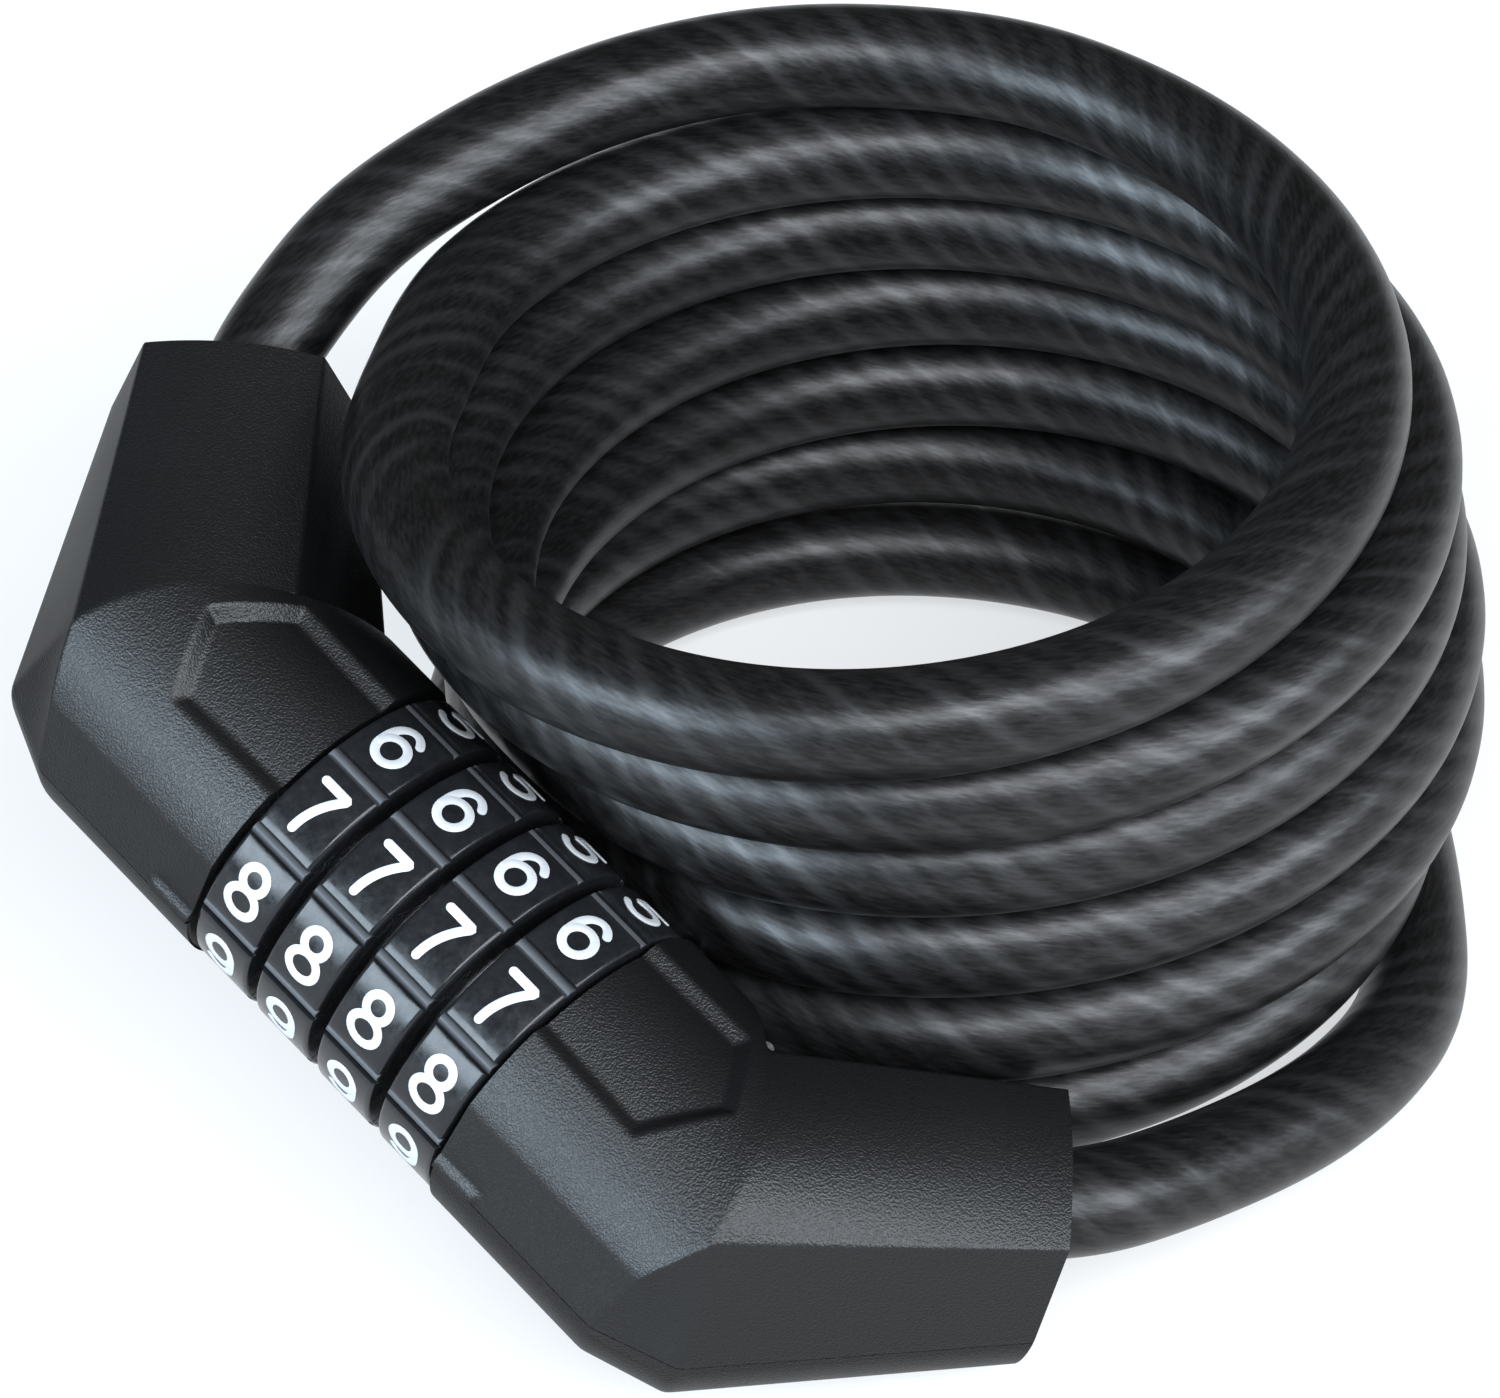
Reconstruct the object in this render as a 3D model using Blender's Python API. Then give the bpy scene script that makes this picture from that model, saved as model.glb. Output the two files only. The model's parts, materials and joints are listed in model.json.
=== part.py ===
"""Self-coiling cable lock with a four-dial combination head, 10 mm cable.

Frame: the lock stands on z = 0 with the origin under the middle of the lock head.
The head's own frame has X along the dial axis from the plug to the body, Z out of
the front face and Y towards the coil.
"""
from math import atan2, cos, pi, radians, sin

import bmesh
import bpy
from mathutils import Euler, Matrix, Vector

MM = 0.001
GAP = 0.3                                  # clearance between touching pieces, mm

# Placement of the head and of the coil, mm and degrees.
HEAD_CENTRE = Vector((-8.2, -8.5, 31.0))   # middle of the dial axis
HEAD_YAW, HEAD_DIP, HEAD_ROLL = -43.8, 19.0, 0.9
PLUG_TWIST = 7.5                           # the plug shells sit turned on the bolt
COIL_CENTRE = Vector((37.5, 32.7, 0.0))

# Dials.
DIALS = 4
DIAL_PITCH = 8.3
RING_WIDTH = 7.0
RING_RADIUS = 16.0
RING_BORE = 11.3
PANELS = 10
GROOVE_HALF_ANGLE = 4.2                    # degrees, on each side of a panel's edge
GROOVE_DEPTH = 0.7
DIGIT_SIX_ANGLE = 7.3                      # degrees from the front towards the coil
SLEEVE_WIDTH = 7.4
SLEEVE_RADIUS = 11.0
SLEEVE_BORE = 6.3
FIN_RELIEF_RADIUS = 7.8

# Core, bolt and their fins.
CORE_RADIUS = 6.0
CORE_BORE = 3.95
BOLT_RADIUS = 3.6
FIN_RADIUS = 7.3
FIN_WIDTH = 1.8
FIN_LENGTH = 1.6
FIN_OFFSET = -2.0                          # from a ring's middle to its fin
SLOT_WIDTH = 2.6

# Housings: the dial arm is a cylinder, the cable arm leans towards the coil.
HOUSING_RADIUS = 16.4
HOUSING_START = 16.5                       # from the dials' middle to the end face
CREASE_ANGLE = 60.0                        # the front crown ends at this angle
ELBOW_X = 33.7
ARM_ANGLE = 49.0
ARM_LENGTH = 31.0
ARM_RISE = 2.6                             # the cable lies in front of the parting
ARM_END_HALF = 12.3                        # the cable end's half width at the parting
CROWN_END_OUT, CROWN_END_IN = 9.8, 7.0     # its crown's creases, either side of the arm's axis
CROWN_END_Z = 12.4
WALL = 2.2
END_WALL = 4.0
CABLE_HOLE_RADIUS = 5.5
SCREW_SPOTS = ((36.0, -8.5), (28.3, 12.3))
POST_RADIUS = 3.2
SCREW_BORE = (                             # height, radius
    (-20, 0), (-20, 2.4), (-7.6, 2.4), (-7.6, 1.35), (0, 1.35), (0, 1.05), (8.5, 1.05), (8.5, 0),
)

# Cable.
CABLE_RADIUS = 5.0
FERRULE_RADIUS = 6.5
FERRULE_START, FERRULE_END = 7.0, 19.0     # along the arm from the elbow
COIL_RADIUS = 45.4
COIL_PITCH = 10.45
COIL_MIDDLE_TURN = 3.25
COIL_MIDDLE_Z = 35.5
COIL_TILT_X, COIL_TILT_Y = 0.031, -0.011
FIRST_TURN, LAST_TURN = 0.25, 6.25         # the coil's ring spans these, in turns
JOIN = 0.003                               # turns left open where a lead meets the ring
LEAD_COVER = 0.15                          # turns of the ring that bridge the lower lead
LIFT_IN, LIFT_OUT = 10.4, 13.5             # the ring's inner and outer edge there
TURN_DRIFT = (                             # turn, middle x, middle y, extra radius
    (0, -11.6, -2.5, 2.7),
    (1, -2.1, -2.3, 0.2),
    (2, -1.4, -0.2, 0.3),
    (3, 2.6, 2.2, -1.0),
    (4, 3.4, 0.9, 0.3),
    (5, 0.0, 1.7, 0.0),
    (6, -1.7, 0.3, -1.1),
    (6.5, 6.0, 0.0, -1.0),
)
DIAL_CLEARANCE = RING_RADIUS + CABLE_RADIUS + 0.9
ARM_CLEARANCE = 12.6 + CABLE_RADIUS + 0.6


def clear_scene():
    for item in list(bpy.data.objects):
        bpy.data.objects.remove(item, do_unlink=True)


def material(name, colour, roughness, metallic=0.0):
    made = bpy.data.materials.new(name)
    made.use_nodes = True
    shader = made.node_tree.nodes["Principled BSDF"]
    shader.inputs["Base Color"].default_value = (*colour, 1.0)
    shader.inputs["Roughness"].default_value = roughness
    shader.inputs["Metallic"].default_value = metallic
    made.diffuse_color = (*colour, 1.0)
    return made


def empty(name, location=(0, 0, 0), rotation=(0, 0, 0), parent=None):
    made = bpy.data.objects.new(name, None)
    made.location = Vector(location) * MM
    made.rotation_euler = Euler([radians(a) for a in rotation])
    made.parent = parent
    bpy.context.collection.objects.link(made)
    return made


def mesh_object(name, bm, look=None, parent=None, location=(0, 0, 0)):
    """A bmesh drawn in mm becomes a metre object; its normals face out."""
    bmesh.ops.recalc_face_normals(bm, faces=bm.faces)
    bmesh.ops.scale(bm, vec=(MM, MM, MM), verts=bm.verts)
    mesh = bpy.data.meshes.new(name)
    bm.to_mesh(mesh)
    bm.free()
    mesh.shade_smooth()
    mesh.set_sharp_from_angle(angle=radians(35))
    made = bpy.data.objects.new(name, mesh)
    made.location = Vector(location) * MM
    made.parent = parent
    bpy.context.collection.objects.link(made)
    if look:
        mesh.materials.append(look)
    else:
        made.hide_render = True
        made.display_type = "WIRE"
    return made


def boolean(target, cutter, operation="DIFFERENCE"):
    step = target.modifiers.new(operation.title(), "BOOLEAN")
    step.operation = operation
    step.object = cutter
    step.solver = "EXACT"


def loft(sections):
    """A closed skin through equal closed sections, capped at both ends."""
    bm = bmesh.new()
    rows = [[bm.verts.new(point) for point in section] for section in sections]
    count = len(rows[0])
    for low, high in zip(rows, rows[1:]):
        for i in range(count):
            j = (i + 1) % count
            bm.faces.new((low[i], low[j], high[j], high[i]))
    bm.faces.new(rows[0])
    bm.faces.new(reversed(rows[-1]))
    return bm


def turned(profile, steps=40):
    """A ring or rod about X from (x, radius) corners; radius 0 closes on the axis."""
    bm = bmesh.new()
    rows = []
    for x, radius in profile:
        if radius == 0:
            rows.append([bm.verts.new((x, 0, 0))] * steps)
            continue
        turns = [2 * pi * i / steps for i in range(steps)]
        rows.append([bm.verts.new((x, radius * sin(a), radius * cos(a))) for a in turns])
    closed = profile[0][1] != 0
    pairs = list(zip(rows, rows[1:]))
    if closed:
        pairs.append((rows[-1], rows[0]))
    for low, high in pairs:
        for i in range(steps):
            j = (i + 1) % steps
            corners = dict.fromkeys((low[i], low[j], high[j], high[i]))
            bm.faces.new(list(corners))
    return bm


def rod(x_start, x_end, radius, steps=32, chamfer=0.0):
    profile = [(x_start, 0), (x_start, radius), (x_end - chamfer, radius)]
    if chamfer:
        profile.append((x_end, radius - chamfer))
    return turned(profile + [(x_end, 0)], steps)


def tube(x_start, x_end, bore, radius, steps=40):
    return turned([(x_start, bore), (x_start, radius), (x_end, radius), (x_end, bore)], steps)


def block(low, high):
    bm = bmesh.new()
    size = [b - a for a, b in zip(low, high)]
    middle = [(a + b) / 2 for a, b in zip(low, high)]
    placed = Matrix.Translation(middle) @ Matrix.Diagonal((*size, 1))
    bmesh.ops.create_cube(bm, size=1.0, matrix=placed)
    return bm


def dial_middle(number):
    return (number - (DIALS + 1) / 2) * DIAL_PITCH


# ---- Dials ----

def ring_outline(radius_at):
    """Angles and radii round one number ring: panels with shallow grooves between."""
    points = []
    pitch = 360.0 / PANELS
    half = pitch / 2 - GROOVE_HALF_ANGLE
    for panel in range(PANELS):
        middle = DIGIT_SIX_ANGLE + panel * pitch
        for step in range(5):
            points.append((middle - half + half * step / 2, radius_at(False)))
        points.append((middle + half + GROOVE_HALF_ANGLE * 0.5, radius_at(True)))
        points.append((middle + half + GROOVE_HALF_ANGLE * 1.5, radius_at(True)))
    return points


def number_ring(number, look, parent):
    outline = ring_outline(lambda groove: RING_RADIUS - (GROOVE_DEPTH if groove else 0))
    bm = bmesh.new()
    half = RING_WIDTH / 2
    loops = []
    for x, shrink in ((-half, None), (-half, 0.6), (-half + 0.6, 0.0),
                      (half - 0.6, 0.0), (half, 0.6), (half, None)):
        loop = []
        for angle, radius in outline:
            r = RING_BORE if shrink is None else radius - shrink
            a = radians(angle)
            loop.append(bm.verts.new((x, r * sin(a), r * cos(a))))
        loops.append(loop)
    count = len(outline)
    for low, high in zip(loops, loops[1:] + loops[:1]):
        for i in range(count):
            j = (i + 1) % count
            bm.faces.new((low[i], low[j], high[j], high[i]))
    name = f"number_ring_{number}"
    return mesh_object(name, bm, look, parent, (dial_middle(number), 0, 0))


def code_sleeve(number, look, parent):
    half = SLEEVE_WIDTH / 2
    place = (dial_middle(number), 0, 0)
    body = tube(-half, half, SLEEVE_BORE, SLEEVE_RADIUS)
    made = mesh_object(f"code_sleeve_{number}", body, look, parent, place)
    relief_end = FIN_OFFSET + FIN_LENGTH / 2 + 0.6
    relief = rod(-half - 1, relief_end, FIN_RELIEF_RADIUS)
    boolean(made, mesh_object(f"relief_cutter_{number}", relief, None, parent, place))
    wide = SLOT_WIDTH / 2 + 0.4
    notch = block((-half - 1, -wide, -FIN_RELIEF_RADIUS), (half + 1, wide, -4))
    boolean(made, mesh_object(f"notch_cutter_{number}", notch, None, parent, place))
    return made


# ---- Core and bolt ----

def dial_core(look, parent):
    """Slotted tube that carries the rings; its groove holds the retaining clip."""
    profile = [
        (-17.9, CORE_BORE), (-17.9, CORE_RADIUS), (-17.3, CORE_RADIUS), (-17.3, 5.2),
        (-16.1, 5.2), (-16.1, CORE_RADIUS), (19.0, CORE_RADIUS), (19.0, 9.0),
        (22.0, 9.0), (22.0, CORE_BORE),
    ]
    made = mesh_object("dial_core", turned(profile), look, parent)
    slot = block((-20, -SLOT_WIDTH / 2, -12), (15.5, SLOT_WIDTH / 2, -2))
    boolean(made, mesh_object("slot_cutter", slot, None, parent))
    channel = block((-15.6, -1.8, 4.9), (17.5, 1.8, 8))
    boolean(made, mesh_object("channel_cutter", channel, None, parent))
    return made


def core_clip(look, parent):
    """C-shaped retaining clip, open where the bolt's fins pass."""
    made = mesh_object("core_clip", tube(-17.0, -16.2, 5.5, 8.3), look, parent)
    mouth = block((-18, -2.2, -10), (-15, 2.2, 0))
    boolean(made, mesh_object("clip_cutter", mouth, None, parent))
    return made


def detent_spring(look, parent):
    """Leaf spring in the core's channel, with one bump under each dial."""
    base, thick = 5.2, 0.35
    stations = [(-15.2, 0.0)]
    for number in range(1, DIALS + 1):
        middle = dial_middle(number)
        for offset, rise in ((-2.2, 0.0), (-0.8, 0.4), (0.8, 0.4), (2.2, 0.0)):
            stations.append((middle + offset, rise))
    stations.append((17.1, 0.0))
    sections = []
    for x, rise in stations:
        low, high = base + rise, base + rise + thick
        sections.append([(x, -1.4, low), (x, 1.4, low), (x, 1.4, high), (x, -1.4, high)])
    return mesh_object("detent_spring", loft(sections), look, parent)


def locking_bolt(look, parent):
    """Steel bolt with four fins; its collar is held in the plug shells."""
    profile = [
        (-31.0, 0), (-31.0, 4.6), (-26.5, 4.6), (-26.5, 7.2), (-23.5, 7.2),
        (-23.5, BOLT_RADIUS), (15.6, BOLT_RADIUS), (17.0, 2.2), (17.0, 0),
    ]
    made = mesh_object("locking_bolt", turned(profile, 32), look, parent)
    for number in range(1, DIALS + 1):
        x = dial_middle(number) + FIN_OFFSET
        low = (x - FIN_LENGTH / 2, -FIN_WIDTH / 2, -FIN_RADIUS)
        high = (x + FIN_LENGTH / 2, FIN_WIDTH / 2, -1.5)
        fin = mesh_object(f"fin_body_{number}", block(low, high), None, parent)
        boolean(made, fin, "UNION")
    return made


# ---- Housings ----

def arm_direction(side):
    angle = radians(ARM_ANGLE)
    return Vector((side * cos(angle), sin(angle), 0))


def arm_point(side, along, across=0.0, z=ARM_RISE):
    """A point by its place along the cable arm from the elbow and across it."""
    ahead = arm_direction(side)
    outward = Vector((side * ahead.y, -side * ahead.x, 0))
    return Vector((side * ELBOW_X, 0, z)) + ahead * along + outward * across


def station(part_out, crease_out, crease_in, part_in, crown, depth, inset=0.0):
    """One closed section: crowned front, flat flanks, round back.

    part_out and part_in are the parting line's (x, y), crease_out and crease_in
    the ends (x, y, z) of the crown. depth is the back's reach below the parting.
    """
    points = []
    limit = sin(radians(CREASE_ANGLE))
    low = cos(radians(CREASE_ANGLE))
    for step in range(11):
        angle = radians(-CREASE_ANGLE + 2 * CREASE_ANGLE * step / 10)
        share = (sin(angle) / limit + 1) / 2
        point = Vector(crease_out).lerp(Vector(crease_in), share)
        point.z += crown * (cos(angle) - low) / (1 - low)
        points.append(point)
    inner, outer = Vector((*part_in, 0)), Vector((*part_out, 0))
    points.append(Vector(crease_in).lerp(inner, 0.5))
    middle, reach = (inner + outer) / 2, (inner - outer) / 2
    for step in range(13):
        angle = pi * step / 12
        points.append(middle + reach * cos(angle) + Vector((0, 0, -depth * sin(angle))))
    points.append(Vector(crease_out).lerp(outer, 0.5))
    if inset:
        centre = sum(points, Vector()) / len(points)
        points = [p + (centre - p).normalized() * inset for p in points]
    return points


def housing_sections(side, inset=0.0, start=HOUSING_START, end=ARM_LENGTH):
    """Stations from the dial end over the elbow to the cable end."""
    r = HOUSING_RADIUS
    y, z = r * sin(radians(CREASE_ANGLE)), r * cos(radians(CREASE_ANGLE))

    def flat(x, y_value):
        return (side * x, y_value)

    def end_at(along, across_out, across_in, z_crease=None):
        if z_crease is None:
            return arm_point(side, along, across_out).xy, arm_point(side, along, across_in).xy
        return (arm_point(side, along, across_out, z_crease),
                arm_point(side, along, across_in, z_crease))

    rows = [
        station(flat(start, -r), (side * start, -y, z), (side * start, y, z),
                flat(start, r), r - z, r, inset),
        station(flat(37.0, -r), (side * 38.6, -y, z), (side * 24.0, y, z),
                flat(23.0, r), r - z, r, inset),
        station(flat(45.1, -13.0), (side * 41.6, -9.3, 13.5), (side * 29.4, 8.0, 14.3),
                flat(26.6, 17.2), 2.3, 17.2, inset),
    ]
    part = end_at(end, ARM_END_HALF, -ARM_END_HALF)
    crease = end_at(end, CROWN_END_OUT, -CROWN_END_IN, CROWN_END_Z)
    rows.append(station(part[0], crease[0], crease[1], part[1], 0.9, 14.1, inset))
    return rows


def along_arm(bm, side):
    """Turns a piece drawn about X so that X runs out along the cable arm."""
    ahead = arm_direction(side)
    turn = Matrix.Rotation(atan2(ahead.y, ahead.x), 4, "Z")
    place = Matrix.Translation((side * ELBOW_X, 0, ARM_RISE)) @ turn
    bmesh.ops.transform(bm, matrix=place, verts=bm.verts)
    return bm


def upright(bm, x, y):
    """Turns a piece drawn about X so that X points to the front at (x, y)."""
    place = Matrix.Translation((x, y, 0)) @ Matrix.Rotation(-pi / 2, 4, "Y")
    bmesh.ops.transform(bm, matrix=place, verts=bm.verts)
    return bm


def shell_pair(prefix, side, look, parent, socket_radius):
    """Front and back half of one housing, parted on z = 0."""
    cavity = loft(housing_sections(side, WALL, HOUSING_START + WALL, ARM_LENGTH - END_WALL))
    cavity = mesh_object(f"{prefix}_cavity", cavity, None, parent)
    cutters = [cavity]
    for index, (x, y) in enumerate(SCREW_SPOTS, 1):
        post = upright(rod(-30, 30, POST_RADIUS, 20), side * x, y)
        boolean(cavity, mesh_object(f"{prefix}_post_{index}", post, None, parent))
        bore = upright(turned(SCREW_BORE, 20), side * x, y)
        cutters.append(mesh_object(f"{prefix}_bore_{index}", bore, None, parent))
    mouth = (10, 22) if side > 0 else (-22, -10)
    cutters.append(mesh_object(f"{prefix}_opening", rod(*mouth, socket_radius), None, parent))
    hole = along_arm(rod(20, 40, CABLE_HOLE_RADIUS, 36), side)
    cutters.append(mesh_object(f"{prefix}_cable_hole", hole, None, parent))
    for half, low, high in (("front", -40, GAP / 2), ("back", -GAP / 2, 40)):
        shell = mesh_object(f"{prefix}_{half}_shell", loft(housing_sections(side)), look, parent)
        other = block((-90, -60, low), (90, 90, high))
        other = mesh_object(f"{prefix}_{half}_cut", other, None, parent)
        for cutter in cutters + [other]:
            boolean(shell, cutter)


def housing_screws(prefix, side, look, parent):
    """Two screws put in from the back."""
    profile = ((-10.2, 0), (-10.2, 2.05), (-8.0, 2.05), (-8.0, 0.75), (7.5, 0.75), (7.5, 0))
    for index, (x, y) in enumerate(SCREW_SPOTS, 1):
        screw = upright(turned(profile, 18), side * x, y)
        mesh_object(f"{prefix}_screw_{index}", screw, look, parent)


def ferrule(prefix, side, look, parent):
    """Crimped sleeve on the cable's end; a cross pin keeps it in the shells."""
    body = along_arm(rod(FERRULE_START, FERRULE_END, FERRULE_RADIUS, 36), side)
    made = mesh_object(f"{prefix}_ferrule", body, look, parent)
    x, y, _ = arm_point(side, (FERRULE_START + FERRULE_END) / 2)
    bore = upright(rod(-10, 10, 1.6, 20), x, y)
    boolean(made, mesh_object(f"{prefix}_pin_bore", bore, None, parent))
    return made


def cross_pin(prefix, side, look, parent):
    x, y, _ = arm_point(side, (FERRULE_START + FERRULE_END) / 2)
    pin = upright(rod(-9.0, 9.0, 1.25, 20), x, y)
    return mesh_object(f"{prefix}_cross_pin", pin, look, parent)


# ---- Cable ----

def drift(turn):
    """Middle and extra radius of the coil at a turn, between the stated ones."""
    for low, high in zip(TURN_DRIFT, TURN_DRIFT[1:]):
        if turn <= high[0]:
            break
    share = max(0.0, min(1.0, (turn - low[0]) / (high[0] - low[0])))
    return [a + (b - a) * share for a, b in zip(low[1:], high[1:])]


def coil_height(turn, x, y):
    rise = COIL_PITCH * (COIL_MIDDLE_TURN - turn)
    return COIL_MIDDLE_Z + rise + COIL_TILT_X * x + COIL_TILT_Y * y


def pushed_clear(point, axes):
    """Moves a point level, away from the head's axes, until it is clear of them."""
    for start, end, reach in axes:
        along = (point - start).dot(end - start) / (end - start).length_squared
        nearest = start.lerp(end, max(0.0, min(1.0, along)))
        away = point - nearest
        level = Vector((away.x, away.y, 0))
        room = max(0.0, reach ** 2 - away.z ** 2) ** 0.5
        if level.length < room and level.length > 0:
            point = point + level.normalized() * (room - level.length)
    return point


def coil_point(turn, extra, axes):
    """A point of the coil's centre line, moved out by extra from the middle."""
    x_mid, y_mid, more = drift(turn)
    angle = 2 * pi * turn
    radius = COIL_RADIUS + more
    x, y = radius * sin(angle), radius * cos(angle)
    z = coil_height(turn, x, y)
    middle = Vector((x_mid + x, y_mid + y, z)) + COIL_CENTRE
    middle = pushed_clear(middle, axes)
    return middle + Vector((extra * sin(angle), extra * cos(angle), 0))


def coil_floor(turn, lift):
    """Height of the coil's underside: raised over the lower lead, then on the floor."""
    share = (turn - FIRST_TURN - LEAD_COVER) / LEAD_COVER
    return lift * max(0.0, min(1.0, 1 - share))


def cable_coil(look, axes):
    """One closed ring of the coil's outer shape, slit where the leads join it."""
    steps, turns_high = 60, int(LAST_TURN - FIRST_TURN)
    slit = 2 * GAP / (2 * pi * COIL_RADIUS)
    sections = []
    for step in range(steps + 1):
        share = step / steps
        azimuth = FIRST_TURN + share * (1 - slit)
        inner, outer = [], []
        for level in range(turns_high):
            turn = min(azimuth + level, LAST_TURN)
            top = Vector((0, 0, 0 if level else 0.3 * CABLE_RADIUS))
            inner.append(coil_point(turn, -CABLE_RADIUS, axes) + top)
            outer.append(coil_point(turn, CABLE_RADIUS, axes) + top)
        below = min(azimuth + turns_high, LAST_TURN + 0.25)
        for edge, extra, lift in ((inner, -CABLE_RADIUS, LIFT_IN), (outer, CABLE_RADIUS, LIFT_OUT)):
            floor = coil_floor(azimuth, lift)
            low = edge[-1].lerp(coil_point(below, extra, axes), floor / lift / 2)
            low.z = floor
            edge.append(low)
        sections.append(inner + outer[::-1])
    return mesh_object("cable_coil", loft(sections), look)


def smooth_route(points, spacing):
    """Evenly spaced points on a smooth curve through the given ones."""
    dense = []
    padded = [points[0] * 2 - points[1]] + points + [points[-1] * 2 - points[-2]]
    for a, b, c, d in zip(padded, padded[1:], padded[2:], padded[3:]):
        for step in range(20):
            t = step / 20
            dense.append(0.5 * (2 * b + (c - a) * t + (2 * a - 5 * b + 4 * c - d) * t * t
                                + (3 * b - 3 * c + d - a) * t ** 3))
    dense.append(points[-1])
    lengths = [0.0]
    for a, b in zip(dense, dense[1:]):
        lengths.append(lengths[-1] + (b - a).length)
    count = max(2, round(lengths[-1] / spacing))
    even, k = [], 0
    for i in range(count + 1):
        target = lengths[-1] * i / count
        while k < len(lengths) - 2 and lengths[k + 1] < target:
            k += 1
        span = max(lengths[k + 1] - lengths[k], 1e-9)
        even.append(dense[k].lerp(dense[k + 1], (target - lengths[k]) / span))
    return even


def cable_lead(name, points, look):
    """A free stretch of cable as a round bevelled curve."""
    curve = bpy.data.curves.new(name, "CURVE")
    curve.dimensions = "3D"
    curve.bevel_depth = CABLE_RADIUS * MM
    curve.bevel_resolution = 3
    curve.use_fill_caps = True
    curve.materials.append(look)
    line = curve.splines.new("POLY")
    line.points.add(len(points) - 1)
    for spot, point in zip(line.points, points):
        spot.co = (*(point * MM), 1.0)
    made = bpy.data.objects.new(name, curve)
    bpy.context.collection.objects.link(made)
    return made


# Route points from the housing mouths to the coil, mm, relative to the coil's middle.
UPPER_ROUTE = (
    (-60.6, 17.0, 59.0),
    (-56.2, 22.6, 62.5),
    (-48.5, 28.2, 65.5),
    (-38.2, 35.0, 67.7),
    (-26.0, 41.0, 68.6),
    (-11.5, 44.4, 68.7),
)
LOWER_ROUTE = (
    (46.2, -21.0, 6.0),
    (42.1, -31.5, 7.6),
    (34.7, -42.2, 9.8),
    (24.2, -51.2, 12.0),
)


def main():
    clear_scene()
    matte_black = material("matte_black_plastic", (0.02, 0.02, 0.022), 0.55)
    gloss_black = material("gloss_black_plastic", (0.01, 0.01, 0.011), 0.18)
    steel = material("steel", (0.55, 0.55, 0.56), 0.3, 1.0)
    zinc = material("zinc_casting", (0.42, 0.42, 0.43), 0.4, 1.0)
    spring_steel = material("spring_steel", (0.35, 0.34, 0.32), 0.25, 1.0)
    jacket = material("smoky_black_vinyl", (0.03, 0.031, 0.035), 0.3)

    turn = (HEAD_ROLL, HEAD_DIP, HEAD_YAW)
    body = empty("body_frame", HEAD_CENTRE, turn)
    slide = empty("plug_slide", HEAD_CENTRE, turn)
    plug = empty("plug_frame", (0, 0, 0), (PLUG_TWIST, 0, 0), slide)
    bpy.context.view_layer.update()

    shell_pair("body", 1, matte_black, body, 6.4)
    shell_pair("plug", -1, matte_black, plug, 8.8)
    for prefix, side, frame in (("body", 1, body), ("plug", -1, plug)):
        housing_screws(prefix, side, steel, frame)
        ferrule(prefix, side, zinc, frame)
        cross_pin(prefix, side, steel, frame)
    dial_core(zinc, body)
    core_clip(spring_steel, body)
    detent_spring(spring_steel, body)
    locking_bolt(steel, slide)
    for number in range(1, DIALS + 1):
        number_ring(number, gloss_black, body)
        code_sleeve(number, zinc, body)

    head = body.matrix_world.copy()
    plug_place = plug.matrix_world.copy()

    def world(matrix, point):
        return (matrix @ (Vector(point) * MM)) / MM

    axes = [
        (world(head, (-36, 0, 0)), world(head, (36, 0, 0)), DIAL_CLEARANCE),
        (world(plug_place, (-ELBOW_X, 0, 0)),
         world(plug_place, arm_point(-1, ARM_LENGTH)), ARM_CLEARANCE),
        (world(head, (ELBOW_X - 6, 3, 0)),
         world(head, arm_point(1, ARM_LENGTH)), ARM_CLEARANCE + 2.5),
    ]
    cable_coil(jacket, axes)

    inside = FERRULE_END + GAP
    upper = [world(plug_place, arm_point(-1, s)) for s in (inside, 25.0, ARM_LENGTH, 34.0)]
    upper += [COIL_CENTRE + Vector(p) for p in UPPER_ROUTE]
    upper += [coil_point(t, 0, axes) for t in (0.06, 0.12, 0.19, FIRST_TURN - JOIN)]
    lower = [coil_point(t, 0, axes) for t in (LAST_TURN + JOIN, LAST_TURN + 0.03)]
    lower += [COIL_CENTRE + Vector(p) for p in LOWER_ROUTE]
    lower += [world(head, arm_point(1, s)) for s in (36.0, ARM_LENGTH, 25.0, inside)]
    cable_lead("cable_lead_upper", smooth_route(upper, 12.0), jacket)
    cable_lead("cable_lead_lower", smooth_route(lower, 8.0), jacket)


main()
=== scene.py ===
"""Looks of the self-coiling cable lock: housings, number rings, cable, floor and light."""
import json
from math import cos, pi, radians, sin

import bmesh
import bpy
import numpy as np
from mathutils import Euler, Matrix, Vector


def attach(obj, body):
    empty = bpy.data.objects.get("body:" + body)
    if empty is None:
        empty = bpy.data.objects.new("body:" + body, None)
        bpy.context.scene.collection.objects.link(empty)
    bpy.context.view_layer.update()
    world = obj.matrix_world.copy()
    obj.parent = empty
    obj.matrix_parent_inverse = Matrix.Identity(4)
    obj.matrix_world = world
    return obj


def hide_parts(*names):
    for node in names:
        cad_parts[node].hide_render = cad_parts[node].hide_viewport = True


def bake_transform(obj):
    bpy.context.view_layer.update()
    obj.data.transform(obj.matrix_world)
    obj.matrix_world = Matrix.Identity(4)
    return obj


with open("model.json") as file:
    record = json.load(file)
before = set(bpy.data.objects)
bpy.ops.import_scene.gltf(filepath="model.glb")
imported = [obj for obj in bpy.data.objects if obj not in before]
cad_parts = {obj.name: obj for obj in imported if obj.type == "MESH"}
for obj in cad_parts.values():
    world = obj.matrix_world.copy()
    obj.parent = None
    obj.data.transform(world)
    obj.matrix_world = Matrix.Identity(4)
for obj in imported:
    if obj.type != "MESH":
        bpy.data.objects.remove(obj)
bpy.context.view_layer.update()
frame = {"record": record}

MM = 0.001

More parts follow.
